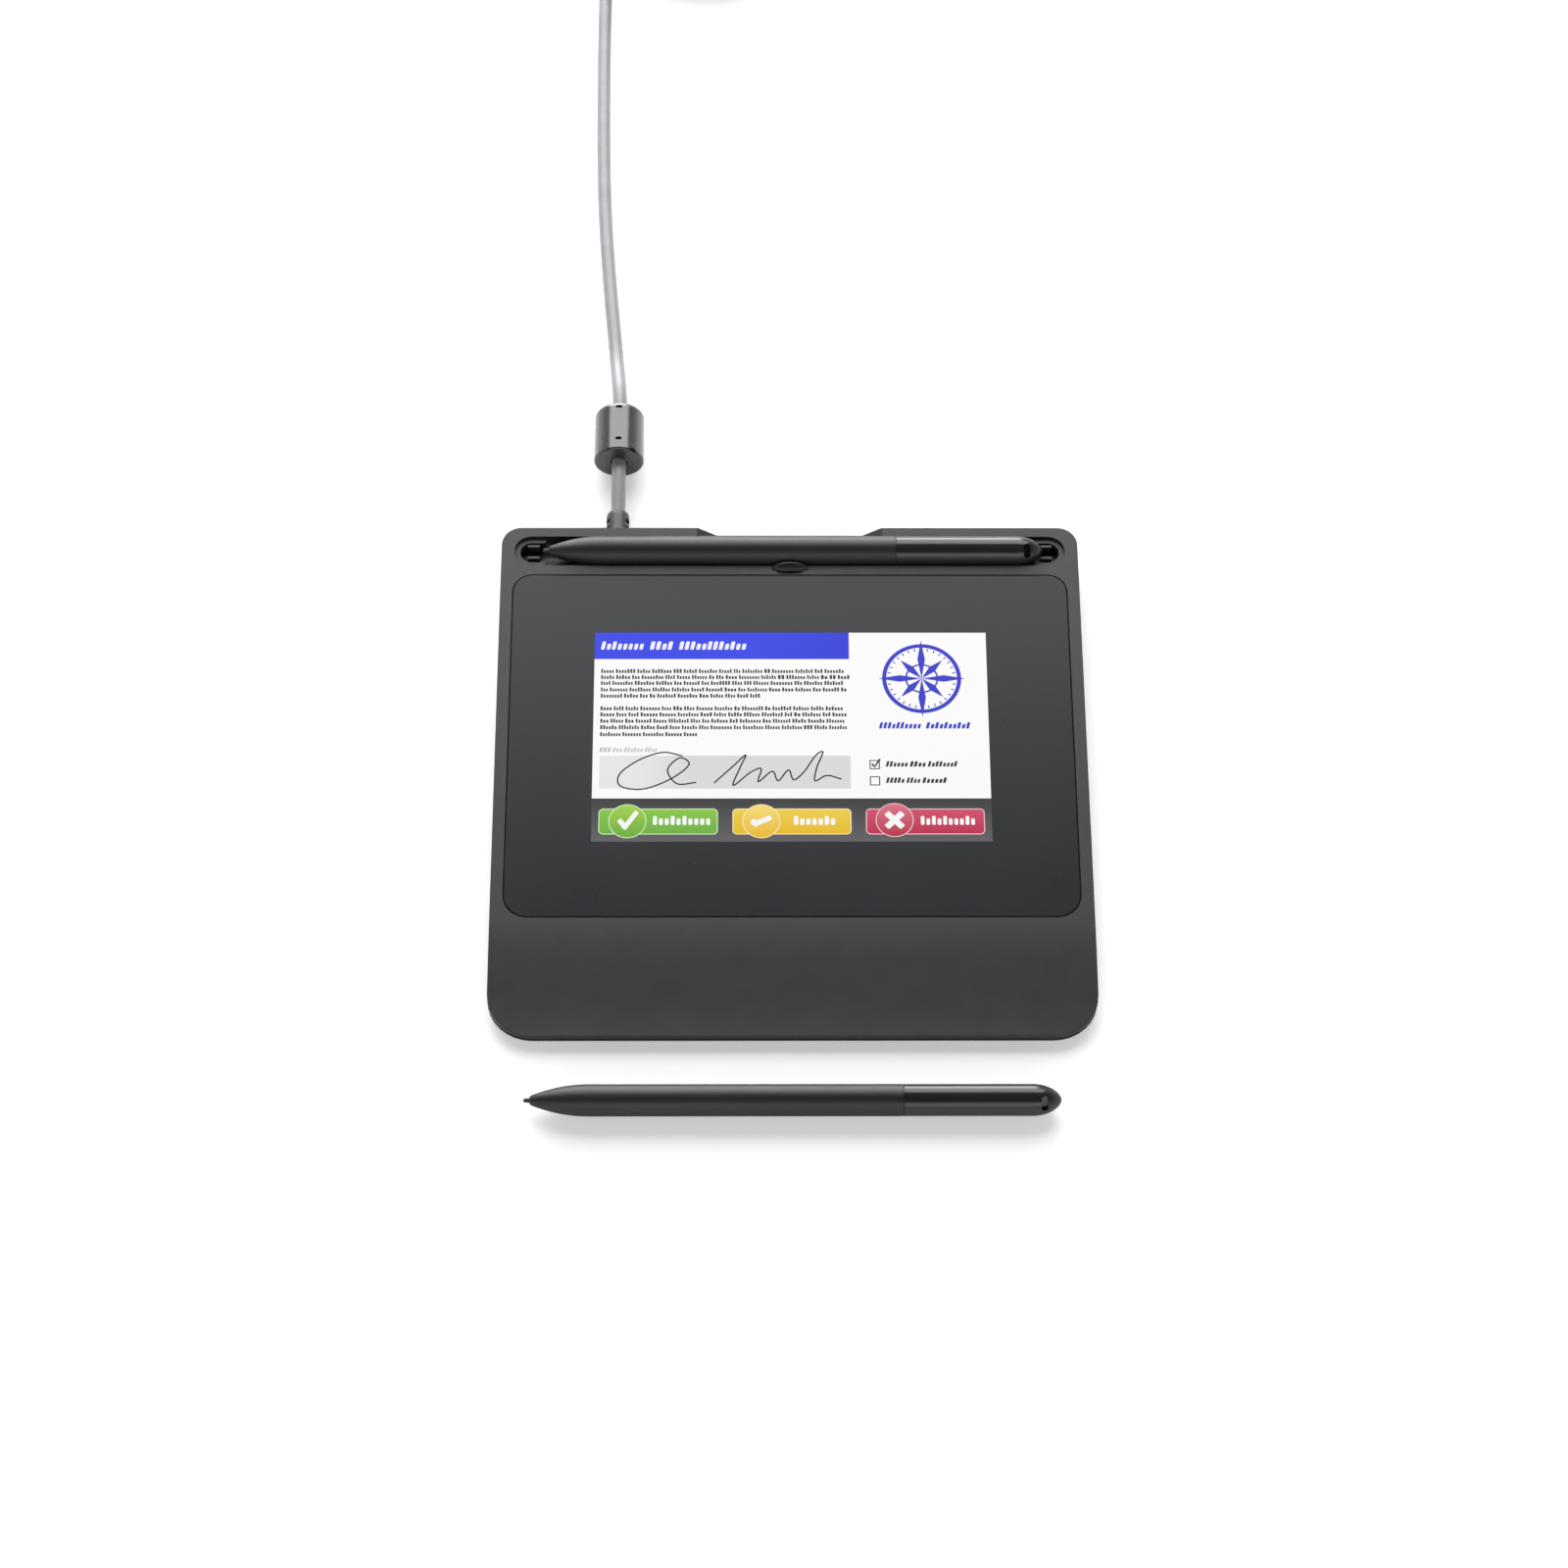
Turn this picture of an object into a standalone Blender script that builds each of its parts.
"""Counter-top signature pad with a stowed pen, a loose pen and a fixed USB lead.

The pad is a thin wedge: a moulded top case with a flush cover glass, a pen tray behind the glass and a
curved wrist rest in front of it, on a shallow bottom case with rubber feet. Metres, +Z up. X runs along
the pad's width, Y away from the person who signs. The origin is on the table, under the centre of the
box round the pad and the loose pen.
"""

import math

import bmesh
import bpy
from mathutils import Matrix, Vector

# Fits shared by all pieces
SEAT_GAP = 0.0003
STACK_GAP = 0.0001
OVERRUN = 0.002
MERGE = 0.000001
FLAT_ANGLE = math.radians(0.2)

# Pen
PEN_LENGTH = 0.1400
PEN_DIAMETER = 0.0084
PEN_NOSE_LENGTH = 0.0150
PEN_NOSE_DIAMETER = 0.0027
PEN_NOSE_COLLAR = 0.0004
PEN_CAP_LENGTH = 0.0412
PEN_CAP_ROUNDING = 0.0077
PEN_CAP_POINTEDNESS_SHARE = 0.60
PEN_CAP_SEAM = 0.0003
PEN_WALL = 0.0011
PEN_SPIGOT_LENGTH = 0.0060
PEN_CORE_FRONT = 0.0220
PEN_CORE_END_ROOM = 0.0030
NIB_DIAMETER = 0.0012
NIB_EXPOSED = 0.0021
NIB_SHANK_DIAMETER = 0.0016
NIB_COLLAR_SET_BACK = 0.0016
NIB_TRAVEL = 0.0003
NIB_RUN_CLEARANCE = 0.00012
TETHER_SLOT_WIDTH = 0.0018
TETHER_SLOT_HEIGHT = 0.0040
TETHER_SLOT_FROM_END = 0.0037
STOWED_SLOT_LEAN = math.radians(32)
LOOSE_SLOT_LEAN = math.radians(42)
PEN_STEPS = 24
NIB_STEPS = 12
NOSE_RINGS = 8
CAP_RINGS = 8

# Where the pens lie
STOWED_PEN_SHIFT = 0.0008
LOOSE_PEN_SHIFT = 0.0003
LOOSE_PEN_GAP = 0.0144

# Display
ACTIVE_WIDTH = 0.1080
ACTIVE_DEPTH = 0.0648
PANEL_SIDE_BORDER = 0.00565
PANEL_END_BORDER = 0.0048
PANEL_THICKNESS = 0.0011
BACKLIGHT_THICKNESS = 0.0015
PANEL_FRAME_WALL = 0.0004
DIGITIZER_MARGIN = 0.0008
DIGITIZER_THICKNESS = 0.0006
SHIELD_INSET = 0.0020
SHIELD_THICKNESS = 0.0002

# Cover glass
GLASS_THICKNESS = 0.0011
GLASS_REAR_BORDER = 0.01846
GLASS_FRONT_BORDER = 0.02234
GLASS_SIDE_BORDER = 0.0230
GLASS_REAR_RADIUS = 0.0053
GLASS_FRONT_RADIUS = 0.0064
GLASS_GAP = 0.0003
TAPE_THICKNESS = 0.00025
TAPE_INSET = 0.0003
LEDGE_WIDTH = 0.0025

# Pen tray
TRAY_SIDE_CLEARANCE = 0.00052
TRAY_END_ROOM = 0.0070
TRAY_FLOOR_CLEARANCE = 0.00035
TRAY_SHELF_DEPTH = 0.0010
TRAY_DRAFT = 0.0001
TRAY_WALL = 0.00325
TRAY_SKIN = 0.0012
POCKET_RIM = 0.0016
POCKET_FLOOR_RISE = 0.0003
POCKET_NECK_LENGTH = 0.0087
POCKET_RIB_LENGTH = 0.0033
POCKET_RIB_WIDTH = 0.0007
POCKET_RIB_SPACING = 0.0037
POCKET_RIB_SET_BACK = 0.0005
POCKET_RIB_END_GAP = 0.0021
TRAY_BEND_STEPS = 8
CHANNEL_STEPS = 10

# Rear rim, finger notch, pen tab and finger dish
REAR_RIM = 0.00296
NOTCH_TOP_WIDTH = 0.0520
NOTCH_FLOOR_WIDTH = 0.0410
NOTCH_DEPTH = 0.0040
TAB_WIDTH = 0.0102
TAB_HEIGHT = 0.0020
TAB_THICKNESS = 0.0013
TAB_STEPS = 10
DISH_LENGTH = 0.0128
DISH_REACH = 0.0014
DISH_HEIGHT = 0.0030
DISH_CENTRE_RISE = 0.0022
DISH_STAND_OFF = 0.0018

# Housing
DECK_TILT = math.radians(2.4)
DISPLAY_HEIGHT = 0.0092
SIDE_RAIL = 0.00365
TRAY_SIDE_RAIL = 0.0036
WRIST_DEPTH = 0.0341
WRIST_FLAT = 0.0010
WRIST_DROP = 0.00147
REAR_CORNER_RADIUS = 0.0055
FRONT_CORNER_RADIUS = 0.0120
RIM_RADIUS = 0.0007
CASE_WALL = 0.0018
CEILING_DEPTH = 0.0026
CAVITY_FRONT_WALL = 0.0165
CORNER_STEPS = 8
WRIST_STEPS = 7
RIM_STEPS = 3

# Bottom case
FOOT_HEIGHT = 0.0008
BOTTOM_THICKNESS = 0.0014
BOTTOM_EDGE_RADIUS = 0.0006
PARTING_GAP = 0.0003
RIB_HEIGHT = 0.0010
RIB_WIDTH = 0.0010
FOOT_LENGTH = 0.0260
FOOT_WIDTH = 0.0070
FOOT_RECESS = 0.0004
FOOT_SIDE_INSET = 0.0120
FOOT_REAR_INSET = 0.0090
FOOT_FRONT_INSET = 0.0110
FOOT_BEND_STEPS = 5

# Case screws and their bosses
SCREW_SHANK_DIAMETER = 0.0018
SCREW_HEAD_DIAMETER = 0.0036
SCREW_HEAD_HEIGHT = 0.0006
SCREW_LENGTH = 0.0032
SCREW_CLEARANCE = 0.00015
SCREW_SINK = 0.0001
SCREW_SEAT_SKIN = 0.0006
BOSS_DIAMETER = 0.0048
BOSS_WALL_BITE = 0.0004
BOSS_REAR_INSET = 0.0225
BOSS_FRONT_INSET = 0.0225
SCREW_STEPS = 14

# Main board
BOARD_END_ROOM = 0.00945
BOARD_DEPTH = 0.0120
BOARD_THICKNESS = 0.0010
BOARD_RISE = 0.0017
BOARD_FROM_PANEL = 0.0020
BOARD_POST_DIAMETER = 0.0036
BOARD_POST_SHARES = (-0.45, -0.15, 0.15, 0.45)
CHIP_SIZE = 0.0090
CHIP_HEIGHT = 0.0012
CHIP_SHARE = 0.10
FLEX_THICKNESS = 0.0002
CONNECTOR_HEIGHT = 0.0012
CONNECTOR_DEPTH = 0.0036
CONNECTOR_MARGIN = 0.0012
CONNECTOR_SET_BACK = 0.0012
FLEX_MOUTH = 0.0004
PANEL_FLEX_WIDTH = 0.0150
PANEL_FLEX_SHARE = 0.28
DIGITIZER_FLEX_WIDTH = 0.0100
DIGITIZER_FLEX_SHARE = -0.12
HEADER_LENGTH = 0.0100
HEADER_DEPTH = 0.0040
HEADER_HEIGHT = 0.0030

# Lead, strain relief and ferrite clamp
CABLE_DIAMETER = 0.0040
CABLE_EXIT_FROM_MIDDLE = 0.04845
CABLE_EXIT_Z = 0.0056
CABLE_STEPS_RESOLUTION = 2
COIL_STEPS_RESOLUTION = 1
RELIEF_BORE_CLEARANCE = 0.0003
RELIEF_DIAMETER = 0.0065
RELIEF_TIP_DIAMETER = 0.0056
RELIEF_LENGTH = 0.0085
RELIEF_SHOULDER = 0.0018
RELIEF_NECK_DIAMETER = 0.0056
RELIEF_FLANGE_DIAMETER = 0.0066
RELIEF_FLANGE_THICKNESS = 0.0012
RELIEF_WALL_SKIN = 0.0012
RELIEF_SLOT_LENGTH = 0.0013
RELIEF_SLOT_SPACING = 0.0024
RELIEF_SLOT_FROM_WALL = 0.0022
RELIEF_SLOT_DEPTH = 0.00085
RELIEF_SPINE_WIDTH = 0.0026
SHEATH_TAIL = 0.0004
RELIEF_STEPS = 20
CONDUCTOR_DIAMETER = 0.0018
CONDUCTOR_RUN_HEIGHT = 0.0014
FERRITE_DIAMETER = 0.0142
FERRITE_LENGTH = 0.0170
FERRITE_FROM_PAD = 0.0255
FERRITE_SHELL_WALL = 0.0012
FERRITE_END_WALL = 0.0014
FERRITE_END_ROUNDING = 0.0022
FERRITE_BORE_DIAMETER = 0.0048
FERRITE_SPLIT_GAP = 0.0003
FERRITE_SPLIT_TURN = math.radians(40)
FERRITE_STEPS = 28
LATCH_WIDTH = 0.0018
LATCH_LENGTH = 0.0011
LATCH_CORNER = 0.0004
LATCH_DEPTH = 0.0007
LATCH_PLACE_SHARES = (0.21, 0.86)
LATCH_STEPS = 3
RELEASE_WIDTH = 0.0019
RELEASE_LENGTH = 0.0010
RELEASE_TURN = math.radians(35)

# The lead's route on the table, by hand, from the clamp to the coil: X and Y from the clamp's far end, Z
LEAD_ROUTE = (
    (0.0000, 0.0040, 0.0070),
    (-0.0003, 0.0095, 0.0062),
    (-0.0008, 0.0160, 0.0044),
    (-0.0014, 0.0230, 0.0027),
    (-0.0020, 0.0300, 0.00205),
    (-0.0031, 0.0420, 0.00205),
    (-0.0042, 0.0550, 0.00205),
    (-0.0052, 0.0690, 0.00205),
    (-0.0060, 0.0840, 0.00205),
    (-0.0065, 0.1000, 0.00205),
    (-0.0068, 0.1160, 0.00205),
    (-0.0070, 0.1320, 0.00205),
    (-0.0071, 0.1480, 0.00205),
    (-0.0071, 0.1640, 0.00205),
    (-0.0071, 0.1780, 0.00205),
    (-0.0071, 0.1890, 0.00205),
)
LEAD_POINTS = 76
ROUTE_SUBSTEPS = 12

# Coil of the unseen length, its tie, and the plug
COIL_MID_DIAMETER = 0.0440
COIL_LAYERS = 4
COIL_TURNS_PER_LAYER = 3
COIL_EXTRA_TURNS_SHARE = 0.25
COIL_PITCH = 0.00448
COIL_POINTS_PER_TURN = 24
COIL_BASE_Z = 0.00205
COIL_CLIMB_SHARE = 0.5
TIE_WIDTH = 0.0090
TIE_THICKNESS = 0.0012
TIE_CLEARANCE = 0.0003
TIE_TURN = math.radians(-62)
TAIL_LEVEL_RUN = 0.0060
TAIL_FALL_RUN = 0.0420
TAIL_POINTS = 16
PLUG_LENGTH = 0.0270
PLUG_WIDTH = 0.0158
PLUG_HEIGHT = 0.0082
PLUG_CORNER = 0.0026
PLUG_BOOT_LENGTH = 0.0090
PLUG_BOOT_DIAMETER = 0.0066
PLUG_SHELL_LENGTH = 0.0119
PLUG_SHELL_WIDTH = 0.0120
PLUG_SHELL_HEIGHT = 0.0045
PLUG_SHELL_WALL = 0.0003
PLUG_SHELL_CORNER = 0.0004
PLUG_TONGUE_WIDTH = 0.0110
PLUG_TONGUE_HEIGHT = 0.0018
PLUG_TONGUE_SET_BACK = 0.0012
PLUG_BEND_STEPS = 4

# A plate's own axes turned so that its outline's X and Y lie on Y and Z, or on X and Z, and a turned
# shape's axis laid along Y
PLATE_ALONG_X = Matrix(((0, 0, 1, 0), (1, 0, 0, 0), (0, 1, 0, 0), (0, 0, 0, 1)))
PLATE_ALONG_Y = Matrix(((1, 0, 0, 0), (0, 0, -1, 0), (0, 1, 0, 0), (0, 0, 0, 1)))
TURN_TO_Y = Matrix.Rotation(-math.pi / 2, 4, "X")

# Worked out: pen
PEN_RADIUS = PEN_DIAMETER / 2
PEN_BORE_RADIUS = PEN_RADIUS - PEN_WALL
PEN_SPLIT = PEN_LENGTH - PEN_CAP_LENGTH
PEN_NOSE_START = NIB_EXPOSED
NIB_RADIUS = NIB_DIAMETER / 2
NIB_SHANK_RADIUS = NIB_SHANK_DIAMETER / 2
NIB_HOLE_RADIUS = NIB_SHANK_RADIUS + NIB_RUN_CLEARANCE

# Worked out: glass, tray and housing, along the deck from the display's centre
GLASS_WIDTH = ACTIVE_WIDTH + 2 * GLASS_SIDE_BORDER
GLASS_DEPTH = ACTIVE_DEPTH + GLASS_REAR_BORDER + GLASS_FRONT_BORDER
GLASS_Y = (GLASS_REAR_BORDER - GLASS_FRONT_BORDER) / 2
GLASS_REAR = GLASS_Y + GLASS_DEPTH / 2
GLASS_FRONT = GLASS_Y - GLASS_DEPTH / 2
TRAY_WIDTH = PEN_DIAMETER + 2 * TRAY_SIDE_CLEARANCE
TRAY_LENGTH = PEN_LENGTH + 2 * TRAY_END_ROOM
TRAY_FRONT = GLASS_REAR + TRAY_WALL
TRAY_Y = TRAY_FRONT + TRAY_WIDTH / 2
TRAY_REAR = TRAY_FRONT + TRAY_WIDTH
TRAY_DEPTH = PEN_RADIUS + TRAY_FLOOR_CLEARANCE
CHANNEL_LENGTH = TRAY_LENGTH - 2 * POCKET_NECK_LENGTH
POCKET_WIDTH = TRAY_WIDTH - 2 * POCKET_RIM
DECK_REAR = TRAY_REAR + REAR_RIM
DECK_FRONT = GLASS_FRONT - WRIST_DEPTH
PAD_WIDTH = max(GLASS_WIDTH + 2 * SIDE_RAIL, TRAY_LENGTH + 2 * TRAY_SIDE_RAIL)
PAD_DEPTH = (DECK_REAR - DECK_FRONT) * math.cos(DECK_TILT)
GLASS_RECESS = GLASS_THICKNESS + TAPE_THICKNESS + 2 * STACK_GAP

# Worked out: the row frame, with its origin under the centre of the pad and the loose pen
PAD_REAR = (PAD_DEPTH + LOOSE_PEN_GAP + PEN_DIAMETER) / 2
PAD_FRONT = PAD_REAR - PAD_DEPTH
LOOSE_PEN_Y = PAD_FRONT - LOOSE_PEN_GAP - PEN_RADIUS
DISPLAY_Y = PAD_REAR - DECK_REAR * math.cos(DECK_TILT)
BOTTOM_TOP = FOOT_HEIGHT + BOTTOM_THICKNESS
PARTING_Z = BOTTOM_TOP + PARTING_GAP
CAVITY_FRONT = PAD_FRONT + CAVITY_FRONT_WALL
INNER_WIDTH = PAD_WIDTH - 2 * CASE_WALL
INNER_REAR = PAD_REAR - CASE_WALL
PAD_HALF = PAD_WIDTH / 2

# Worked out: the display's layers, down from the deck
PANEL_WIDTH = ACTIVE_WIDTH + 2 * PANEL_SIDE_BORDER
PANEL_DEPTH = ACTIVE_DEPTH + 2 * PANEL_END_BORDER
PANEL_TOP = -GLASS_THICKNESS - STACK_GAP
PANEL_BOTTOM = PANEL_TOP - PANEL_THICKNESS
BACKLIGHT_TOP = PANEL_BOTTOM - STACK_GAP
BACKLIGHT_BOTTOM = BACKLIGHT_TOP - BACKLIGHT_THICKNESS
DIGITIZER_TOP = BACKLIGHT_BOTTOM - STACK_GAP
DIGITIZER_BOTTOM = DIGITIZER_TOP - DIGITIZER_THICKNESS
SHIELD_TOP = DIGITIZER_BOTTOM - STACK_GAP
FRAME_WIDTH = PANEL_WIDTH + 2 * (STACK_GAP + PANEL_FRAME_WALL)
FRAME_DEPTH = PANEL_DEPTH + 2 * (STACK_GAP + PANEL_FRAME_WALL)

# Worked out: screws
BOSS_RADIUS = BOSS_DIAMETER / 2
BOSS_X = PAD_HALF - CASE_WALL - BOSS_RADIUS + BOSS_WALL_BITE
BOSS_REAR_Y = PAD_REAR - BOSS_REAR_INSET
BOSS_FRONT_Y = PAD_FRONT + BOSS_FRONT_INSET
BOSS_PLACES = [
    (side * BOSS_X, y)
    for y in (BOSS_REAR_Y, (BOSS_REAR_Y + BOSS_FRONT_Y) / 2, BOSS_FRONT_Y)
    for side in (-1, 1)
]
SCREW_SEAT_Z = BOTTOM_TOP - SCREW_SEAT_SKIN
SCREW_HEAD_TOP = SCREW_SEAT_Z - SCREW_SINK

# Worked out: main board, in the row frame, between the screws' bosses
BOARD_LENGTH = 2 * (BOSS_X - BOSS_RADIUS - BOARD_END_ROOM)
BOARD_FRONT = DISPLAY_Y + FRAME_DEPTH / 2 + BOARD_FROM_PANEL
BOARD_Y = BOARD_FRONT + BOARD_DEPTH / 2
BOARD_BOTTOM = BOTTOM_TOP + BOARD_RISE
BOARD_TOP = BOARD_BOTTOM + BOARD_THICKNESS

# Worked out: feet
FOOT_PLACES = [
    (side * (PAD_HALF - FOOT_SIDE_INSET - FOOT_LENGTH / 2), y)
    for y in (PAD_REAR - FOOT_REAR_INSET - FOOT_WIDTH / 2, PAD_FRONT + FOOT_FRONT_INSET + FOOT_WIDTH / 2)
    for side in (-1, 1)
]

# Worked out: lead, which leaves the pad left of its middle
CABLE_EXIT_X = -CABLE_EXIT_FROM_MIDDLE
CABLE_RADIUS = CABLE_DIAMETER / 2
RELIEF_START_Y = PAD_REAR - RELIEF_WALL_SKIN - SEAT_GAP - RELIEF_FLANGE_THICKNESS
SHEATH_START_Y = RELIEF_START_Y - SHEATH_TAIL
RELIEF_END_Y = PAD_REAR + RELIEF_LENGTH
FERRITE_RADIUS = FERRITE_DIAMETER / 2
FERRITE_START_Y = PAD_REAR + FERRITE_FROM_PAD
FERRITE_END_Y = FERRITE_START_Y + FERRITE_LENGTH
COIL_SPREAD = COIL_TURNS_PER_LAYER * COIL_PITCH
COIL_OUTER = (COIL_MID_DIAMETER + COIL_SPREAD) / 2
COIL_INNER = (COIL_MID_DIAMETER - COIL_SPREAD) / 2
LEAD_END = Vector((CABLE_EXIT_X, FERRITE_END_Y, 0)) + Vector(LEAD_ROUTE[-1])
COIL_START = Vector((LEAD_END.x, LEAD_END.y + CABLE_DIAMETER, COIL_BASE_Z))
COIL_CENTRE = Vector((COIL_START.x + COIL_OUTER, COIL_START.y + CABLE_DIAMETER, COIL_BASE_Z))
COIL_TURNS = COIL_LAYERS * COIL_TURNS_PER_LAYER + COIL_EXTRA_TURNS_SHARE
COIL_TOP_Z = COIL_BASE_Z + (COIL_LAYERS - 1) * COIL_PITCH
PLUG_CENTRE_Z = PLUG_HEIGHT / 2 + COIL_BASE_Z - CABLE_RADIUS
TAIL_START_X = COIL_CENTRE.x + CABLE_DIAMETER + SEAT_GAP
PLUG_Y = COIL_CENTRE.y + COIL_OUTER + COIL_EXTRA_TURNS_SHARE * COIL_PITCH
TAIL_END_X = TAIL_START_X + TAIL_LEVEL_RUN + TAIL_FALL_RUN
PLUG_START_X = TAIL_END_X + SEAT_GAP


def clear_scene():
    """Empties the scene."""
    for thing in list(bpy.data.objects):
        bpy.data.objects.remove(thing)


clear_scene()
PARTS = bpy.data.collections.new("signature_pad")
CUTTERS = bpy.data.collections.new("cutters")
bpy.context.scene.collection.children.link(PARTS)
bpy.context.scene.collection.children.link(CUTTERS)


def to_linear(value):
    """One sRGB channel, 0 to 1, as linear light."""
    if value <= 0.04045:
        return value / 12.92
    return ((value + 0.055) / 1.055) ** 2.4


def finish(name, colour, roughness, metallic=0.0):
    """A Principled material from an sRGB hex colour."""
    made = bpy.data.materials.new(name)
    made.use_nodes = True
    shader = made.node_tree.nodes["Principled BSDF"]
    channels = [to_linear(int(colour[i : i + 2], 16) / 255) for i in (0, 2, 4)]
    shader.inputs["Base Color"].default_value = (*channels, 1.0)
    shader.inputs["Roughness"].default_value = roughness
    shader.inputs["Metallic"].default_value = metallic
    return made


CASE_PLASTIC = finish("case_plastic", "3C3D3F", 0.55)
BOTTOM_PLASTIC = finish("bottom_plastic", "2A2B2C", 0.6)
GLASS = finish("cover_glass", "2F3134", 0.12)
TAPE = finish("adhesive_foam", "1B1B1C", 0.9)
LIQUID_CRYSTAL = finish("panel_glass", "DDE2EA", 0.2)
LIGHT_GUIDE = finish("light_guide", "E9EAE6", 0.5)
SHEET_STEEL = finish("sheet_steel", "B4B6B8", 0.35, 1.0)
CIRCUIT_BOARD = finish("circuit_board", "1F5A36", 0.5)
CHIP_BODY = finish("chip_body", "222224", 0.5)
CONNECTOR_PLASTIC = finish("connector_plastic", "D9D2C0", 0.5)
POLYIMIDE = finish("polyimide_flex", "A8662A", 0.35)
RUBBER = finish("rubber", "1A1A1B", 0.85)
SCREW_STEEL = finish("screw_steel", "6C6E70", 0.35, 1.0)
PEN_BARREL_PLASTIC = finish("pen_barrel_plastic", "2E2F31", 0.42)
PEN_CAP_PLASTIC = finish("pen_cap_plastic", "3A3B3D", 0.28)
NIB_PLASTIC = finish("nib_plastic", "232324", 0.4)
COPPER = finish("wound_copper", "B06A38", 0.35, 1.0)
CABLE_SHEATH = finish("cable_sheath", "3B3C3E", 0.4)
FERRITE_SHELL_PLASTIC = finish("ferrite_shell_plastic", "3A3C3E", 0.35)
FERRITE = finish("ferrite", "2B2A29", 0.6)
TIE_WRAP = finish("tie_wrap", "232323", 0.8)
CONDUCTOR = finish("conductor_sleeve", "5A5B5D", 0.5)


def own_mesh(name, graph):
    """A mesh datablock from a bmesh, which is freed."""
    bmesh.ops.recalc_face_normals(graph, faces=graph.faces)
    mesh = bpy.data.meshes.new(name)
    graph.to_mesh(mesh)
    graph.free()
    return mesh


def place(name, mesh, material, parent=None):
    """A part: an object in the part collection with its own material."""
    thing = bpy.data.objects.new(name, mesh)
    thing.data.materials.clear()
    thing.data.materials.append(material)
    thing.parent = parent
    PARTS.objects.link(thing)
    return thing


def tool(name, mesh, parent=None):
    """A cutter or a piece to be joined on, which is not a part."""
    thing = bpy.data.objects.new(name, mesh)
    thing.hide_render = True
    thing.display_type = "WIRE"
    thing.parent = parent
    CUTTERS.objects.link(thing)
    return thing


def combine(target, other, operation):
    """Adds an exact Boolean of another mesh object to target."""
    step = target.modifiers.new(f"{operation.lower()}_{other.name}", "BOOLEAN")
    step.operation = operation
    step.object = other
    step.solver = "EXACT"
    return step


def arc(centre, radii, start, end, steps):
    """Points of an arc or part of an ellipse, both ends included."""
    return [
        (
            centre[0] + radii[0] * math.cos(start + (end - start) * i / steps),
            centre[1] + radii[1] * math.sin(start + (end - start) * i / steps),
        )
        for i in range(steps + 1)
    ]


def rounded_outline(low, high, low_radius, high_radius, steps):
    """A rectangle from low to high, its two corners at low Y with one radius and those at high Y another."""
    quarter = math.pi / 2
    corners = (
        ((high[0] - low_radius, low[1] + low_radius), low_radius, -quarter),
        ((high[0] - high_radius, high[1] - high_radius), high_radius, 0),
        ((low[0] + high_radius, high[1] - high_radius), high_radius, quarter),
        ((low[0] + low_radius, low[1] + low_radius), low_radius, 2 * quarter),
    )
    points = []
    for centre, radius, start in corners:
        points += arc(centre, (radius, radius), start, start + quarter, steps)
    return points


def centred_outline(centre, size, radius, steps):
    """A rounded rectangle by its centre and size."""
    low = (centre[0] - size[0] / 2, centre[1] - size[1] / 2)
    high = (centre[0] + size[0] / 2, centre[1] + size[1] / 2)
    return rounded_outline(low, high, radius, radius, steps)


def box_outline(low, high):
    """A plain rectangle."""
    return [(low[0], low[1]), (high[0], low[1]), (high[0], high[1]), (low[0], high[1])]


def plate_graph(outline, bottom, top):
    """A flat plate as a bmesh: a filled 2D curve, extruded, with its caps welded and flat faces joined."""
    curve = bpy.data.curves.new("outline", "CURVE")
    curve.dimensions = "2D"
    curve.fill_mode = "BOTH"
    curve.extrude = (top - bottom) / 2
    spline = curve.splines.new("POLY")
    spline.points.add(len(outline) - 1)
    for point, (x, y) in zip(spline.points, outline):
        point.co = (x, y, 0, 1)
    spline.use_cyclic_u = True
    holder = bpy.data.objects.new("outline", curve)
    CUTTERS.objects.link(holder)
    bpy.context.view_layer.update()
    mesh = bpy.data.meshes.new_from_object(holder.evaluated_get(bpy.context.evaluated_depsgraph_get()))
    bpy.data.objects.remove(holder)
    graph = bmesh.new()
    graph.from_mesh(mesh)
    bpy.data.meshes.remove(mesh)
    bmesh.ops.remove_doubles(graph, verts=graph.verts, dist=MERGE)
    bmesh.ops.dissolve_limit(graph, angle_limit=FLAT_ANGLE, verts=graph.verts, edges=graph.edges)
    bmesh.ops.translate(graph, vec=(0, 0, (bottom + top) / 2), verts=graph.verts)
    return graph


def plate(name, outline, bottom, top):
    """A flat plate as a mesh."""
    return own_mesh(name, plate_graph(outline, bottom, top))


def bar_along_x(name, outline, start, end):
    """An outline in Y and Z, extruded along X."""
    graph = plate_graph(outline, start, end)
    bmesh.ops.transform(graph, matrix=PLATE_ALONG_X, verts=graph.verts)
    return own_mesh(name, graph)


def bar_along_y(name, outline, start, end):
    """An outline in X and Z, extruded along Y."""
    graph = plate_graph(outline, -end, -start)
    bmesh.ops.transform(graph, matrix=PLATE_ALONG_Y, verts=graph.verts)
    return own_mesh(name, graph)


def is_rim(edge, upwards):
    """True on an edge between a side wall and the top face, or the bottom face where upwards is -1."""
    slopes = sorted(upwards * face.normal.z for face in edge.link_faces)
    return len(slopes) == 2 and abs(slopes[0]) < 0.3 and slopes[1] > 0.8


def soften_rim(graph, upwards, radius, steps):
    """Rounds the rim of a plate's top, or of its bottom."""
    graph.normal_update()
    rim = [edge for edge in graph.edges if is_rim(edge, upwards)]
    bmesh.ops.bevel(
        graph,
        geom=rim,
        offset=radius,
        segments=steps,
        affect="EDGES",
        profile=0.5,
        material=-1,
        clamp_overlap=True,
    )


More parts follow.
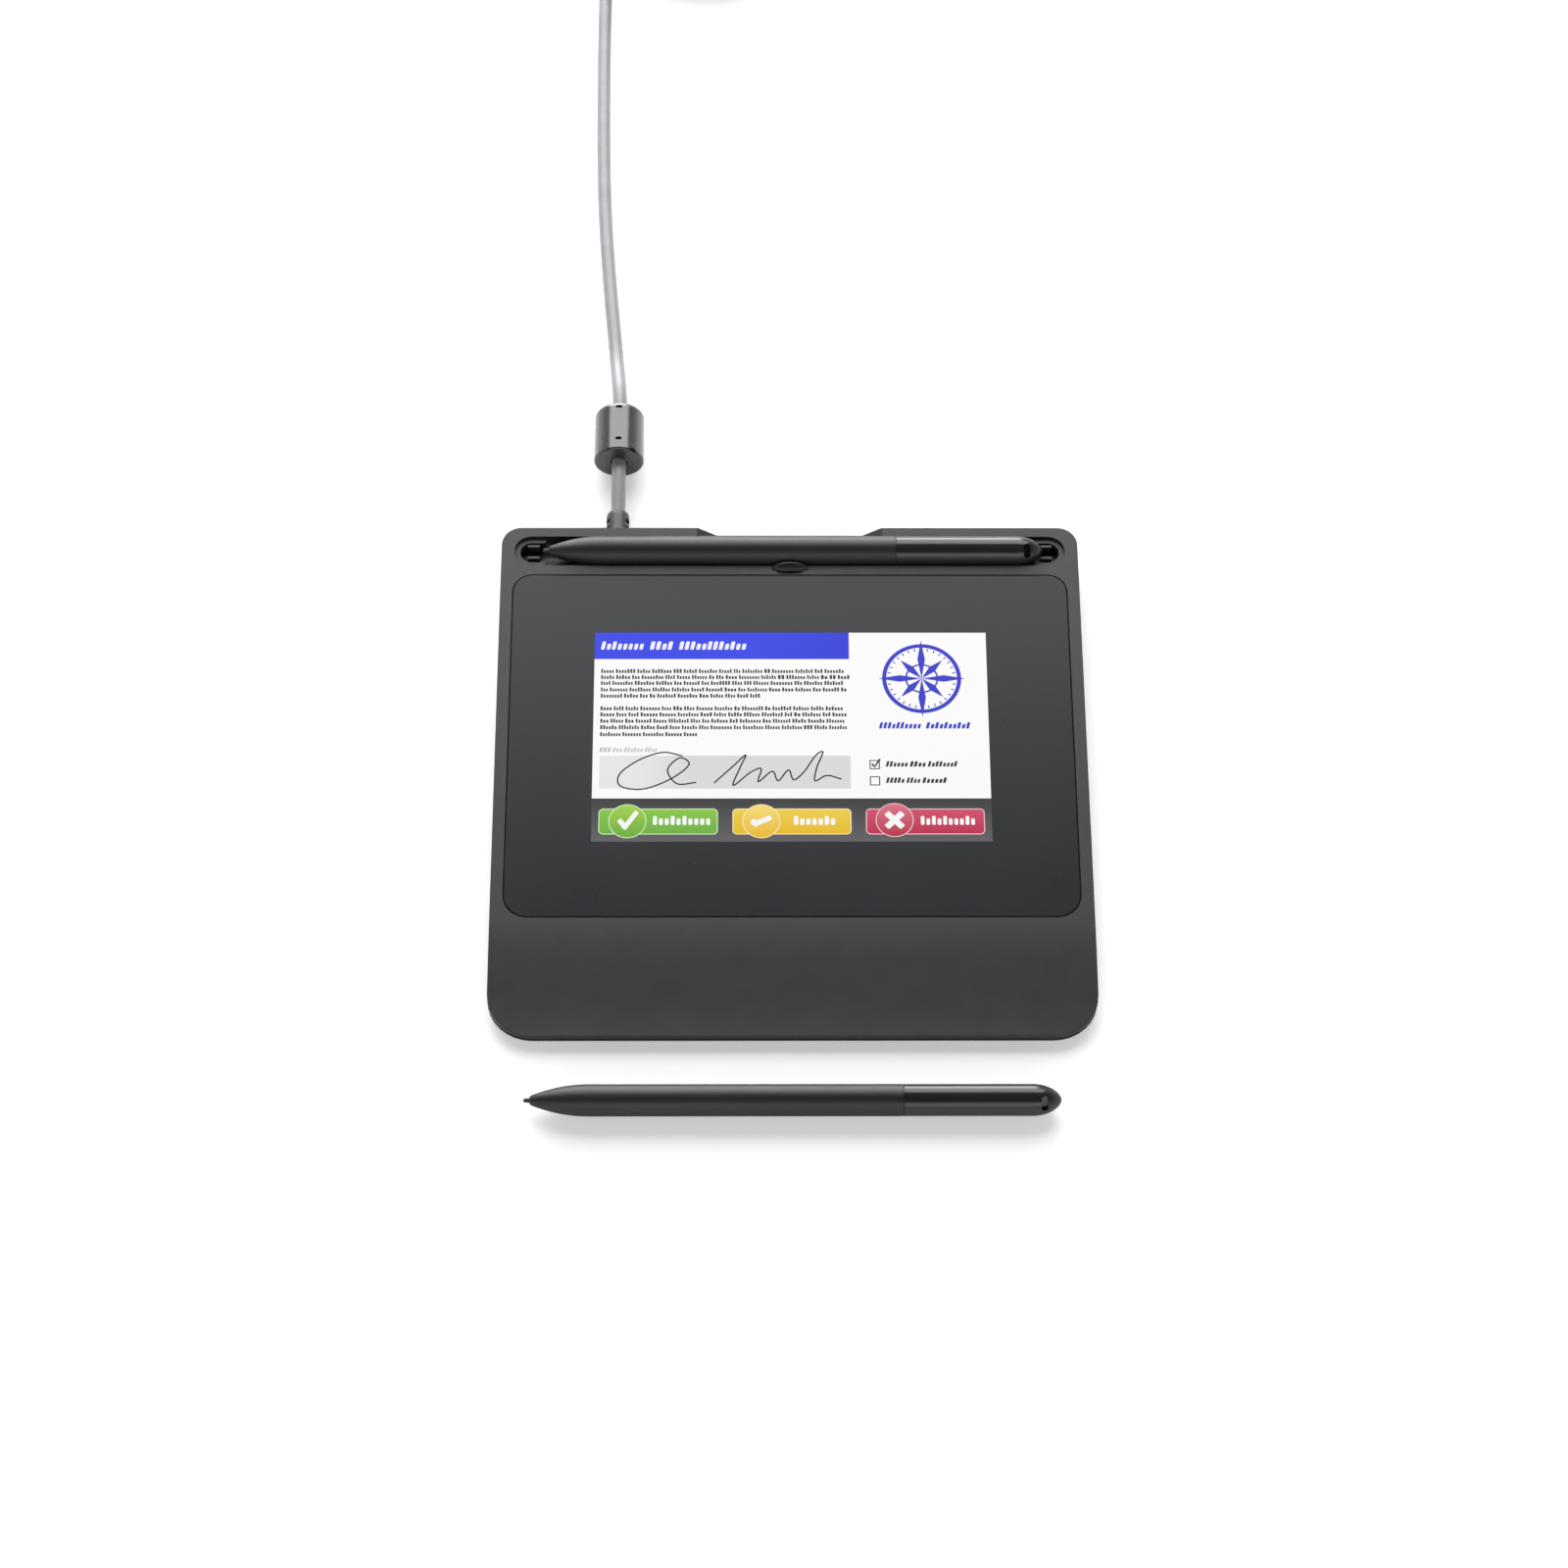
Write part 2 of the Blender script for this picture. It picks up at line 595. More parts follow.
def turned(name, profile, steps, parent=None, material=None, matrix=None):
    """A solid of revolution about its own Z, from a closed or pole-to-pole profile of radius and height."""
    closed = profile[0][0] > 0
    graph = bmesh.new()
    corners = [graph.verts.new((radius, 0, height)) for radius, height in profile]
    for first, second in zip(corners, corners[1:]):
        graph.edges.new((first, second))
    if closed:
        graph.edges.new((corners[-1], corners[0]))
    mesh = bpy.data.meshes.new(name)
    graph.to_mesh(mesh)
    graph.free()
    thing = place(name, mesh, material, parent) if material else tool(name, mesh, parent)
    if matrix:
        thing.matrix_local = matrix
    turn = thing.modifiers.new("turn", "SCREW")
    turn.axis = "Z"
    turn.angle = math.tau
    turn.steps = steps
    turn.render_steps = steps
    turn.use_merge_vertices = True
    turn.merge_threshold = MERGE
    turn.use_smooth_shade = True
    return thing


def cylinder(name, radius, bottom, top, steps, centre):
    """A plain cylinder along Z as a mesh."""
    graph = bmesh.new()
    bmesh.ops.create_cone(
        graph, cap_ends=True, segments=steps, radius1=radius, radius2=radius, depth=top - bottom
    )
    bmesh.ops.translate(graph, vec=(centre[0], centre[1], (bottom + top) / 2), verts=graph.verts)
    return own_mesh(name, graph)


def tube(name, points, diameter, resolution, material):
    """A round cord along a list of points: a curve with a bevel and filled caps."""
    curve = bpy.data.curves.new(name, "CURVE")
    curve.dimensions = "3D"
    curve.bevel_depth = diameter / 2
    curve.bevel_resolution = resolution
    curve.use_fill_caps = True
    spline = curve.splines.new("POLY")
    spline.points.add(len(points) - 1)
    for point, place_ in zip(spline.points, points):
        point.co = (*place_, 1)
    curve.materials.append(material)
    thing = bpy.data.objects.new(name, curve)
    PARTS.objects.link(thing)
    return thing


def smooth_route(route, count):
    """Evenly spaced points on a smooth curve through the route's points."""
    nodes = [Vector(p) for p in route]
    ends = [2 * nodes[0] - nodes[1], *nodes, 2 * nodes[-1] - nodes[-2]]
    fine = []
    for a, b, c, d in zip(ends, ends[1:], ends[2:], ends[3:]):
        for i in range(ROUTE_SUBSTEPS):
            t = i / ROUTE_SUBSTEPS
            bend = 2 * a - 5 * b + 4 * c - d
            twist = 3 * b - a - 3 * c + d
            fine.append((2 * b + (c - a) * t + bend * t**2 + twist * t**3) / 2)
    fine.append(nodes[-1])
    along = [0.0]
    for first, second in zip(fine, fine[1:]):
        along.append(along[-1] + (second - first).length)
    points, at = [], 0
    for i in range(count):
        wanted = along[-1] * i / (count - 1)
        while at < len(fine) - 2 and along[at + 1] < wanted:
            at += 1
        share = (wanted - along[at]) / (along[at + 1] - along[at])
        points.append(fine[at].lerp(fine[at + 1], share))
    return points


def ease(share):
    """Smooth step from 0 to 1."""
    share = min(max(share, 0), 1)
    return share * share * (3 - 2 * share)


# The deck is a tilted plane: what lies on it is placed from the display's centre
DECK = bpy.data.objects.new("deck_plane", None)
DECK.location = (0, DISPLAY_Y, DISPLAY_HEIGHT)
DECK.rotation_euler = (DECK_TILT, 0, 0)
PARTS.objects.link(DECK)


def deck_height(y):
    """Height of the flat deck over the table at a Y of the row frame."""
    return DISPLAY_HEIGHT + (y - DISPLAY_Y) * math.tan(DECK_TILT)


WRIST_START = DISPLAY_Y + (GLASS_FRONT - WRIST_FLAT) * math.cos(DECK_TILT)


def skin_height(y):
    """Height of the top case's skin: the flat deck, then the wrist rest that curves down to the front."""
    share = (WRIST_START - y) / (WRIST_START - PAD_FRONT)
    return deck_height(y) - WRIST_DROP * ease(share)


def case_outline(inset):
    """The housing seen from above, drawn in by inset."""
    return rounded_outline(
        (-PAD_HALF + inset, PAD_FRONT + inset),
        (PAD_HALF - inset, PAD_REAR - inset),
        FRONT_CORNER_RADIUS - inset,
        REAR_CORNER_RADIUS - inset,
        CORNER_STEPS,
    )


def cavity_outline(inset):
    """The hollow of the top case seen from above, drawn in by inset."""
    corner = REAR_CORNER_RADIUS - CASE_WALL - inset
    return rounded_outline(
        (-INNER_WIDTH / 2 + inset, CAVITY_FRONT + inset),
        (INNER_WIDTH / 2 - inset, INNER_REAR - inset),
        corner,
        corner,
        CORNER_STEPS,
    )


def top_case_blank():
    """The top case before it is hollowed: a plate whose top follows the deck and the wrist rest."""
    graph = plate_graph(case_outline(0), PARTING_Z, DISPLAY_HEIGHT)
    corner_end = PAD_FRONT + FRONT_CORNER_RADIUS
    levels = [point[1] for point in case_outline(0)[1:CORNER_STEPS]]
    levels += [corner_end + (WRIST_START - corner_end) * i / WRIST_STEPS for i in range(WRIST_STEPS + 1)]
    for y in levels:
        geometry = [*graph.verts, *graph.edges, *graph.faces]
        bmesh.ops.bisect_plane(graph, geom=geometry, dist=MERGE, plane_co=(0, y, 0), plane_no=(0, 1, 0))
    middle = (PARTING_Z + DISPLAY_HEIGHT) / 2
    for corner in graph.verts:
        if corner.co.z > middle:
            corner.co.z = skin_height(corner.co.y)
    bmesh.ops.recalc_face_normals(graph, faces=graph.faces)
    soften_rim(graph, 1, RIM_RADIUS, RIM_STEPS)
    return own_mesh("top_case", graph)


def sloped_block(name, outline, bottom, depth):
    """A plate whose top runs parallel to the deck, depth below it."""
    graph = plate_graph(outline, bottom, DISPLAY_HEIGHT)
    middle = (bottom + DISPLAY_HEIGHT) / 2
    for corner in graph.verts:
        if corner.co.z > middle:
            corner.co.z = deck_height(corner.co.y) - depth
    return own_mesh(name, graph)


def trough_outline(half_width, depth, top):
    """A channel's section in Y and Z: a round floor, and upright sides where there is room for them."""
    spring = min(half_width - depth, top)
    points = arc((TRAY_Y, spring), (half_width, depth + spring), math.pi, math.tau, CHANNEL_STEPS)
    if spring < top:
        points += [(TRAY_Y + half_width, top), (TRAY_Y - half_width, top)]
    return points


def add_tray(case):
    """The pen tray: a trough under the deck, the channel, shelf and end pockets in it, and tether ribs."""
    trough = TRAY_WIDTH / 2 + TRAY_SKIN
    block = bar_along_x(
        "trough_block",
        trough_outline(trough, TRAY_DEPTH + TRAY_SKIN, -RIM_RADIUS - STACK_GAP),
        -PAD_HALF + CASE_WALL / 2,
        PAD_HALF - CASE_WALL / 2,
    )
    combine(case, tool("trough_block", block, DECK), "UNION")
    channel = bar_along_x(
        "tray_channel",
        trough_outline(TRAY_WIDTH / 2 - TRAY_DRAFT, TRAY_DEPTH, OVERRUN),
        -CHANNEL_LENGTH / 2,
        CHANNEL_LENGTH / 2,
    )
    combine(case, tool("tray_channel", channel, DECK), "DIFFERENCE")
    shelf = centred_outline((0, TRAY_Y), (TRAY_LENGTH, TRAY_WIDTH), TRAY_WIDTH / 2, TRAY_BEND_STEPS)
    shelf_cut = plate("tray_shelf", shelf, -TRAY_SHELF_DEPTH, OVERRUN)
    combine(case, tool("tray_shelf", shelf_cut, DECK), "DIFFERENCE")
    length = POCKET_NECK_LENGTH + POCKET_WIDTH
    for side, word in ((-1, "left"), (1, "right")):
        middle = side * (TRAY_LENGTH / 2 - POCKET_RIM - length / 2)
        pocket = centred_outline((middle, TRAY_Y), (length, POCKET_WIDTH), POCKET_WIDTH / 2, TRAY_BEND_STEPS)
        name = f"{word}_pocket"
        pocket_cut = plate(name, pocket, -TRAY_DEPTH + POCKET_FLOOR_RISE, OVERRUN)
        combine(case, tool(name, pocket_cut, DECK), "DIFFERENCE")
        for row in (-1, 1):
            far = side * (TRAY_LENGTH / 2 - POCKET_RIM - POCKET_RIB_END_GAP)
            near = far - side * POCKET_RIB_LENGTH
            y = TRAY_Y + row * POCKET_RIB_SPACING / 2
            low = (min(near, far), y - POCKET_RIB_WIDTH / 2)
            high = (max(near, far), y + POCKET_RIB_WIDTH / 2)
            name = f"{word}_rib_{row}"
            rib = plate(name, box_outline(low, high), -TRAY_DEPTH - TRAY_SKIN / 2, -POCKET_RIB_SET_BACK)
            combine(case, tool(name, rib, DECK), "UNION")


def add_notch(case):
    """The finger notch through the rear rim, behind the pen."""
    top, floor = NOTCH_TOP_WIDTH / 2, NOTCH_FLOOR_WIDTH / 2
    rise = OVERRUN * (top - floor) / NOTCH_DEPTH
    outline = [(-floor, -NOTCH_DEPTH), (floor, -NOTCH_DEPTH), (top + rise, OVERRUN), (-top - rise, OVERRUN)]
    notch = bar_along_y("rear_notch", outline, TRAY_Y, DECK_REAR + OVERRUN)
    combine(case, tool("rear_notch", notch, DECK), "DIFFERENCE")


def add_tab(case):
    """The arched tab that steadies the pen, with the finger dish in front of it."""
    half = TAB_WIDTH / 2
    radius = (half**2 + TAB_HEIGHT**2) / (2 * TAB_HEIGHT)
    reach = math.asin(half / radius)
    upright = math.pi / 2
    crown = arc((0, TAB_HEIGHT - radius), (radius, radius), upright - reach, upright + reach, TAB_STEPS)
    outline = [*crown, (-half, -CEILING_DEPTH / 2), (half, -CEILING_DEPTH / 2)]
    tab = bar_along_y("pen_tab", outline, TRAY_FRONT - TAB_THICKNESS, TRAY_FRONT - STACK_GAP / 2)
    combine(case, tool("pen_tab", tab, DECK), "UNION")
    graph = bmesh.new()
    bmesh.ops.create_uvsphere(graph, u_segments=20, v_segments=12, radius=DISH_REACH)
    spread = (DISH_LENGTH / (2 * DISH_REACH), 1, DISH_HEIGHT / DISH_REACH)
    bmesh.ops.scale(graph, vec=spread, verts=graph.verts)
    bmesh.ops.translate(graph, vec=(0, TRAY_FRONT - DISH_STAND_OFF, DISH_CENTRE_RISE), verts=graph.verts)
    combine(case, tool("finger_dish", own_mesh("finger_dish", graph), DECK), "DIFFERENCE")


def add_glass_seat(case):
    """The recess that the cover glass and its adhesive frame lie in, and the window through the ledge."""
    seat = glass_outline(-GLASS_GAP)
    combine(case, tool("glass_seat", plate("glass_seat", seat, -GLASS_RECESS, OVERRUN), DECK), "DIFFERENCE")
    window = glass_outline(LEDGE_WIDTH)
    opening = plate("glass_window", window, -CEILING_DEPTH - OVERRUN, 0)
    combine(case, tool("glass_window", opening, DECK), "DIFFERENCE")


def glass_outline(inset):
    """The cover glass seen square on, drawn in by inset."""
    return rounded_outline(
        (-GLASS_WIDTH / 2 + inset, GLASS_FRONT + inset),
        (GLASS_WIDTH / 2 - inset, GLASS_REAR - inset),
        GLASS_FRONT_RADIUS - inset,
        GLASS_REAR_RADIUS - inset,
        CORNER_STEPS,
    )


def add_bosses(case):
    """Screw bosses that hang from the ceiling, with their blind holes."""
    for number, (x, y) in enumerate(BOSS_PLACES, 1):
        top = deck_height(y) - CEILING_DEPTH + RIM_RADIUS
        post = cylinder(f"boss_{number}", BOSS_RADIUS, PARTING_Z, top, SCREW_STEPS, (x, y))
        combine(case, tool(f"boss_{number}", post), "UNION")
    for number, (x, y) in enumerate(BOSS_PLACES, 1):
        end = SCREW_HEAD_TOP + SCREW_LENGTH + SEAT_GAP
        radius = SCREW_SHANK_DIAMETER / 2 + SCREW_CLEARANCE
        hole = cylinder(f"boss_hole_{number}", radius, FOOT_HEIGHT, end, SCREW_STEPS, (x, y))
        combine(case, tool(f"boss_hole_{number}", hole), "DIFFERENCE")


def arch_outline(radius):
    """A slot in X and Z that is round at the top, from below the parting line up round the lead's exit."""
    top = arc((CABLE_EXIT_X, CABLE_EXIT_Z), (radius, radius), 0, math.pi, TRAY_BEND_STEPS)
    return [*top, (CABLE_EXIT_X - radius, FOOT_HEIGHT), (CABLE_EXIT_X + radius, FOOT_HEIGHT)]


def add_cable_exit(case):
    """The slot that the strain relief's neck sits in, and the wider pocket for its flange."""
    neck = arch_outline(RELIEF_NECK_DIAMETER / 2 + SEAT_GAP / 2)
    slot = bar_along_y("relief_slot", neck, INNER_REAR - OVERRUN, PAD_REAR + OVERRUN)
    combine(case, tool("relief_slot", slot), "DIFFERENCE")
    flange = arch_outline(RELIEF_FLANGE_DIAMETER / 2 + SEAT_GAP / 2)
    pocket = bar_along_y("relief_pocket", flange, RELIEF_START_Y - SEAT_GAP, PAD_REAR - RELIEF_WALL_SKIN)
    combine(case, tool("relief_pocket", pocket), "DIFFERENCE")


def build_top_case():
    """The moulded top housing."""
    case = place("top_case", top_case_blank(), CASE_PLASTIC)
    hollow = sloped_block("case_hollow", cavity_outline(0), FOOT_HEIGHT, CEILING_DEPTH)
    combine(case, tool("case_hollow", hollow), "DIFFERENCE")
    add_bosses(case)
    add_glass_seat(case)
    add_tray(case)
    add_notch(case)
    add_tab(case)
    add_cable_exit(case)


def build_bottom_case():
    """The shallow lower shell, with its locating rib, screw seats, foot recesses and board posts."""
    graph = plate_graph(case_outline(0), FOOT_HEIGHT, BOTTOM_TOP)
    soften_rim(graph, -1, BOTTOM_EDGE_RADIUS, 2)
    case = place("bottom_case", own_mesh("bottom_case", graph), BOTTOM_PLASTIC)
    rib = plate("locating_rib", cavity_outline(SEAT_GAP), BOTTOM_TOP - FOOT_RECESS, BOTTOM_TOP + RIB_HEIGHT)
    rib_piece = tool("locating_rib", rib)
    core = plate("rib_core", cavity_outline(SEAT_GAP + RIB_WIDTH), FOOT_HEIGHT, PARTING_Z + OVERRUN)
    combine(rib_piece, tool("rib_core", core), "DIFFERENCE")
    radius = BOSS_RADIUS + SEAT_GAP
    above = PARTING_Z + OVERRUN
    for number, (x, y) in enumerate(BOSS_PLACES, 1):
        relief = cylinder(f"rib_relief_{number}", radius, FOOT_HEIGHT, above, SCREW_STEPS, (x, y))
        combine(rib_piece, tool(f"rib_relief_{number}", relief), "DIFFERENCE")
    half = RELIEF_FLANGE_DIAMETER / 2 + 2 * SEAT_GAP
    gap = box_outline((CABLE_EXIT_X - half, RELIEF_START_Y - OVERRUN), (CABLE_EXIT_X + half, PAD_REAR))
    combine(rib_piece, tool("rib_gap", plate("rib_gap", gap, FOOT_HEIGHT, above)), "DIFFERENCE")
    combine(case, rib_piece, "UNION")
    for share in BOARD_POST_SHARES:
        name = f"board_post_{share}"
        centre = (share * BOARD_LENGTH, BOARD_Y)
        top = BOARD_BOTTOM - SEAT_GAP
        post = cylinder(name, BOARD_POST_DIAMETER / 2, BOTTOM_TOP - FOOT_RECESS, top, SCREW_STEPS, centre)
        combine(case, tool(name, post), "UNION")
    for number, (x, y) in enumerate(BOSS_PLACES, 1):
        radius = SCREW_HEAD_DIAMETER / 2 + SEAT_GAP
        seat = cylinder(f"screw_seat_{number}", radius, 0, SCREW_SEAT_Z, SCREW_STEPS, (x, y))
        combine(case, tool(f"screw_seat_{number}", seat), "DIFFERENCE")
        radius = SCREW_SHANK_DIAMETER / 2 + SEAT_GAP
        hole = cylinder(f"screw_hole_{number}", radius, 0, PARTING_Z, SCREW_STEPS, (x, y))
        combine(case, tool(f"screw_hole_{number}", hole), "DIFFERENCE")
    for number, centre in enumerate(FOOT_PLACES, 1):
        size = (FOOT_LENGTH + 2 * SEAT_GAP, FOOT_WIDTH + 2 * SEAT_GAP)
        outline = centred_outline(centre, size, size[1] / 2, FOOT_BEND_STEPS)
        recess = plate(f"foot_recess_{number}", outline, 0, FOOT_HEIGHT + FOOT_RECESS)
        combine(case, tool(f"foot_recess_{number}", recess), "DIFFERENCE")


def build_feet():
    """Four rubber feet, each set in its recess."""
    for number, centre in enumerate(FOOT_PLACES, 1):
        outline = centred_outline(centre, (FOOT_LENGTH, FOOT_WIDTH), FOOT_WIDTH / 2, FOOT_BEND_STEPS)
        graph = plate_graph(outline, 0, FOOT_HEIGHT + FOOT_RECESS - STACK_GAP)
        soften_rim(graph, -1, FOOT_HEIGHT / 4, 1)
        place(f"rubber_foot_{number}", own_mesh(f"rubber_foot_{number}", graph), RUBBER)


def build_screws():
    """Six case screws, driven from below."""
    head, shank = SCREW_HEAD_DIAMETER / 2, SCREW_SHANK_DIAMETER / 2
    low = SCREW_HEAD_TOP - SCREW_HEAD_HEIGHT
    tip = SCREW_HEAD_TOP + SCREW_LENGTH
    profile = [
        (0, tip),
        (shank / 2, tip),
        (shank, tip - shank / 2),
        (shank, SCREW_HEAD_TOP),
        (head, SCREW_HEAD_TOP),
        (head, low + SCREW_HEAD_HEIGHT / 3),
        (head - SCREW_HEAD_HEIGHT / 3, low),
        (0, low),
    ]
    for number, (x, y) in enumerate(BOSS_PLACES, 1):
        matrix = Matrix.Translation((x, y, 0))
        turned(f"case_screw_{number}", profile, SCREW_STEPS, material=SCREW_STEEL, matrix=matrix)


def build_glass():
    """The cover glass and the adhesive frame below it."""
    graph = plate_graph(glass_outline(0), -GLASS_THICKNESS, 0)
    soften_rim(graph, 1, STACK_GAP, 1)
    place("cover_glass", own_mesh("cover_glass", graph), GLASS, DECK)
    top = -GLASS_THICKNESS - STACK_GAP
    tape = plate("glass_adhesive", glass_outline(TAPE_INSET), top - TAPE_THICKNESS, top)
    frame = place("glass_adhesive", tape, TAPE, DECK)
    hole = plate("adhesive_hole", glass_outline(LEDGE_WIDTH), top - OVERRUN, top + OVERRUN)
    combine(frame, tool("adhesive_hole", hole, DECK), "DIFFERENCE")


def build_display():
    """The panel, its backlight and metal frame, the digitizer board and the shield plate."""
    size = (PANEL_WIDTH, PANEL_DEPTH)
    corner = PANEL_FRAME_WALL
    outline = centred_outline((0, 0), size, corner, 2)
    place("display_panel", plate("display_panel", outline, PANEL_BOTTOM, PANEL_TOP), LIQUID_CRYSTAL, DECK)
    place("backlight", plate("backlight", outline, BACKLIGHT_BOTTOM, BACKLIGHT_TOP), LIGHT_GUIDE, DECK)
    outer = centred_outline((0, 0), (FRAME_WIDTH, FRAME_DEPTH), 2 * corner, 2)
    frame = place("panel_frame", plate("panel_frame", outer, BACKLIGHT_BOTTOM, PANEL_TOP), SHEET_STEEL, DECK)
    inner = (PANEL_WIDTH + 2 * STACK_GAP, PANEL_DEPTH + 2 * STACK_GAP)
    bore = centred_outline((0, 0), inner, corner, 2)
    hole = plate("frame_hole", bore, BACKLIGHT_BOTTOM - OVERRUN, OVERRUN)
    combine(frame, tool("frame_hole", hole, DECK), "DIFFERENCE")
    size = (FRAME_WIDTH + 2 * DIGITIZER_MARGIN, FRAME_DEPTH)
    board = centred_outline((0, 0), size, corner, 2)
    board_plate = plate("digitizer_board", board, DIGITIZER_BOTTOM, DIGITIZER_TOP)
    place("digitizer_board", board_plate, CIRCUIT_BOARD, DECK)
    size = (FRAME_WIDTH - 2 * SHIELD_INSET, FRAME_DEPTH - 2 * SHIELD_INSET)
    shield = centred_outline((0, 0), size, corner, 2)
    low = SHIELD_TOP - SHIELD_THICKNESS
    place("shield_plate", plate("shield_plate", shield, low, SHIELD_TOP), SHEET_STEEL, DECK)


def ribbon(name, path, width, x):
    """A flat flex: a path in Y and Z given a thickness, and extruded across its width."""
    sides = []
    for turn in (1, -1):
        for i, point in enumerate(path[::turn]):
            ordered = path[::turn]
            before = Vector(ordered[max(i - 1, 0)])
            after = Vector(ordered[min(i + 1, len(ordered) - 1)])
            along = (after - before).normalized()
            sides.append((point[0] + along.y * FLEX_THICKNESS / 2, point[1] - along.x * FLEX_THICKNESS / 2))
    place(name, bar_along_x(name, sides, x - width / 2, x + width / 2), POLYIMIDE)


def build_board():
    """The main board behind the display, with its chip, connectors, flexes and the lead's header."""
    half = BOARD_LENGTH / 2
    outline = box_outline((-half, BOARD_FRONT), (half, BOARD_FRONT + BOARD_DEPTH))
    place("main_board", plate("main_board", outline, BOARD_BOTTOM, BOARD_TOP), CIRCUIT_BOARD)
    base = BOARD_TOP + STACK_GAP
    chip = centred_outline((CHIP_SHARE * BOARD_LENGTH, BOARD_Y), (CHIP_SIZE, CHIP_SIZE), STACK_GAP, 1)
    place("controller_chip", plate("controller_chip", chip, base, base + CHIP_HEIGHT), CHIP_BODY)
    mouth = BOARD_FRONT + CONNECTOR_SET_BACK
    for word, share, width, drop in (
        ("panel", PANEL_FLEX_SHARE, PANEL_FLEX_WIDTH, PANEL_BOTTOM),
        ("digitizer", DIGITIZER_FLEX_SHARE, DIGITIZER_FLEX_WIDTH, (DIGITIZER_TOP + DIGITIZER_BOTTOM) / 2),
    ):
        x = share * BOARD_LENGTH
        half = width / 2 + CONNECTOR_MARGIN
        block = box_outline((x - half, mouth), (x + half, mouth + CONNECTOR_DEPTH))
        name = f"{word}_connector"
        place(name, plate(name, block, base, base + CONNECTOR_HEIGHT), CONNECTOR_PLASTIC)
        start_y = DISPLAY_Y + FRAME_DEPTH / 2 + FLEX_MOUTH
        start = (start_y, deck_height(start_y) + drop)
        end = (mouth - STACK_GAP, base + CONNECTOR_HEIGHT / 2)
        run, fall = end[0] - start[0], end[1] - start[1]
        path = [(start[0] + run * i / 8, start[1] + fall * ease(i / 8)) for i in range(9)]
        ribbon(f"{word}_flex", path, width, x)
    rear = BOARD_FRONT + BOARD_DEPTH
    block = box_outline(
        (CABLE_EXIT_X - HEADER_LENGTH / 2, rear - HEADER_DEPTH), (CABLE_EXIT_X + HEADER_LENGTH / 2, rear)
    )
    place("cable_header", plate("cable_header", block, base, base + HEADER_HEIGHT), CONNECTOR_PLASTIC)
    run_z = BOTTOM_TOP + CONDUCTOR_RUN_HEIGHT
    end_z = base + HEADER_HEIGHT / 2
    first = SHEATH_START_Y - SEAT_GAP
    last = rear + SEAT_GAP
    tray = DISPLAY_Y + TRAY_Y * math.cos(DECK_TILT)
    route = [
        (CABLE_EXIT_X, first, CABLE_EXIT_Z),
        (CABLE_EXIT_X, first - CONDUCTOR_DIAMETER / 2, CABLE_EXIT_Z),
        (CABLE_EXIT_X, (first + tray) / 2, (CABLE_EXIT_Z + run_z) / 2),
        (CABLE_EXIT_X, tray, run_z),
        (CABLE_EXIT_X, (3 * tray + last) / 4, run_z),
        (CABLE_EXIT_X, (tray + 3 * last) / 4, (run_z + end_z) / 2),
        (CABLE_EXIT_X, last + CONDUCTOR_DIAMETER / 2, end_z),
        (CABLE_EXIT_X, last, end_z),
    ]
    tube("lead_conductors", smooth_route(route, 16), CONDUCTOR_DIAMETER, 1, CONDUCTOR)


def build_strain_relief():
    """The moulded strain relief: flange, neck, round-shouldered body, flex slots either side of a spine."""
    bore = CABLE_RADIUS + RELIEF_BORE_CLEARANCE
    flange = RELIEF_FLANGE_DIAMETER / 2
    neck = RELIEF_NECK_DIAMETER / 2
    body = RELIEF_DIAMETER / 2
    tip = RELIEF_TIP_DIAMETER / 2
    length = RELIEF_END_Y - RELIEF_START_Y
    outside = PAD_REAR - RELIEF_START_Y + SEAT_GAP
    rounding = (body - tip, RELIEF_SHOULDER)
    shoulder = arc((tip, length - RELIEF_SHOULDER), rounding, math.pi / 2, 0, 4)
    profile = [
        (bore, length),
        *shoulder,
        (body, outside + (length - outside) / 3),
        (body, outside),
        (neck, outside),
        (neck, RELIEF_FLANGE_THICKNESS),
        (flange, RELIEF_FLANGE_THICKNESS),
        (flange, 0),
        (bore, 0),
    ]
    start = Vector((CABLE_EXIT_X, RELIEF_START_Y, CABLE_EXIT_Z))
    matrix = Matrix.Translation(start) @ TURN_TO_Y
    relief = turned("strain_relief", profile, RELIEF_STEPS, material=CABLE_SHEATH, matrix=matrix)
    first = PAD_REAR + RELIEF_SLOT_FROM_WALL
    for row in range(2):
        start = first + row * RELIEF_SLOT_SPACING
        for side in (-1, 1):
            low = body - RELIEF_SLOT_DEPTH
            inner, outer = sorted((side * low, side * (body + OVERRUN)))
            outline = [
                (CABLE_EXIT_X + inner, CABLE_EXIT_Z - RELIEF_SPINE_WIDTH / 2),
                (CABLE_EXIT_X + outer, CABLE_EXIT_Z - RELIEF_SPINE_WIDTH / 2),
                (CABLE_EXIT_X + outer, CABLE_EXIT_Z + body + OVERRUN),
                (CABLE_EXIT_X + inner, CABLE_EXIT_Z + body + OVERRUN),
            ]
            name = f"flex_slot_{row}_{side}"
            slot = bar_along_y(name, outline, start, start + RELIEF_SLOT_LENGTH)
            combine(relief, tool(name, slot), "DIFFERENCE")


